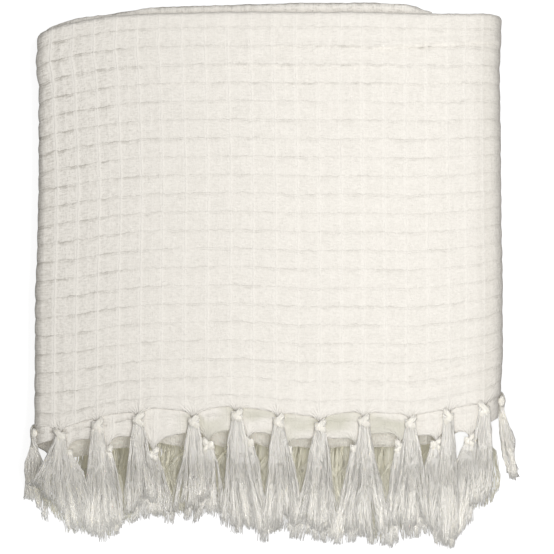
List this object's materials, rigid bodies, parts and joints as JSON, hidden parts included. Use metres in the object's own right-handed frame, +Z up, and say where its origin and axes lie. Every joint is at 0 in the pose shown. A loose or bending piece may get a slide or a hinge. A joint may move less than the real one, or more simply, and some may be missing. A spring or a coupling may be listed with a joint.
{
  "type": "folded throw blanket",
  "caption": "Waffle-weave cotton throw folded into a flat square packet, with knotted tassel fringes showing along one side.",
  "frame": {"origin": "under the middle of the whole outline, fringe included, on the floor that the packet lies on", "axes": "+Z up through the packet, +Y from the fringe towards the upper fold, +X across the front panel"},
  "size_m": [0.5141, 0.5716, 0.0428],
  "materials": {
    "waffle_cotton": "matt ivory waffle cotton",
    "fringe_cotton": "matt ivory cotton yarn"
  },
  "bodies": {
    "root": {"cloth": "waffle_cotton", "fringe_a": "fringe_cotton", "fringe_b": "fringe_cotton"}
  },
  "joints": []
}
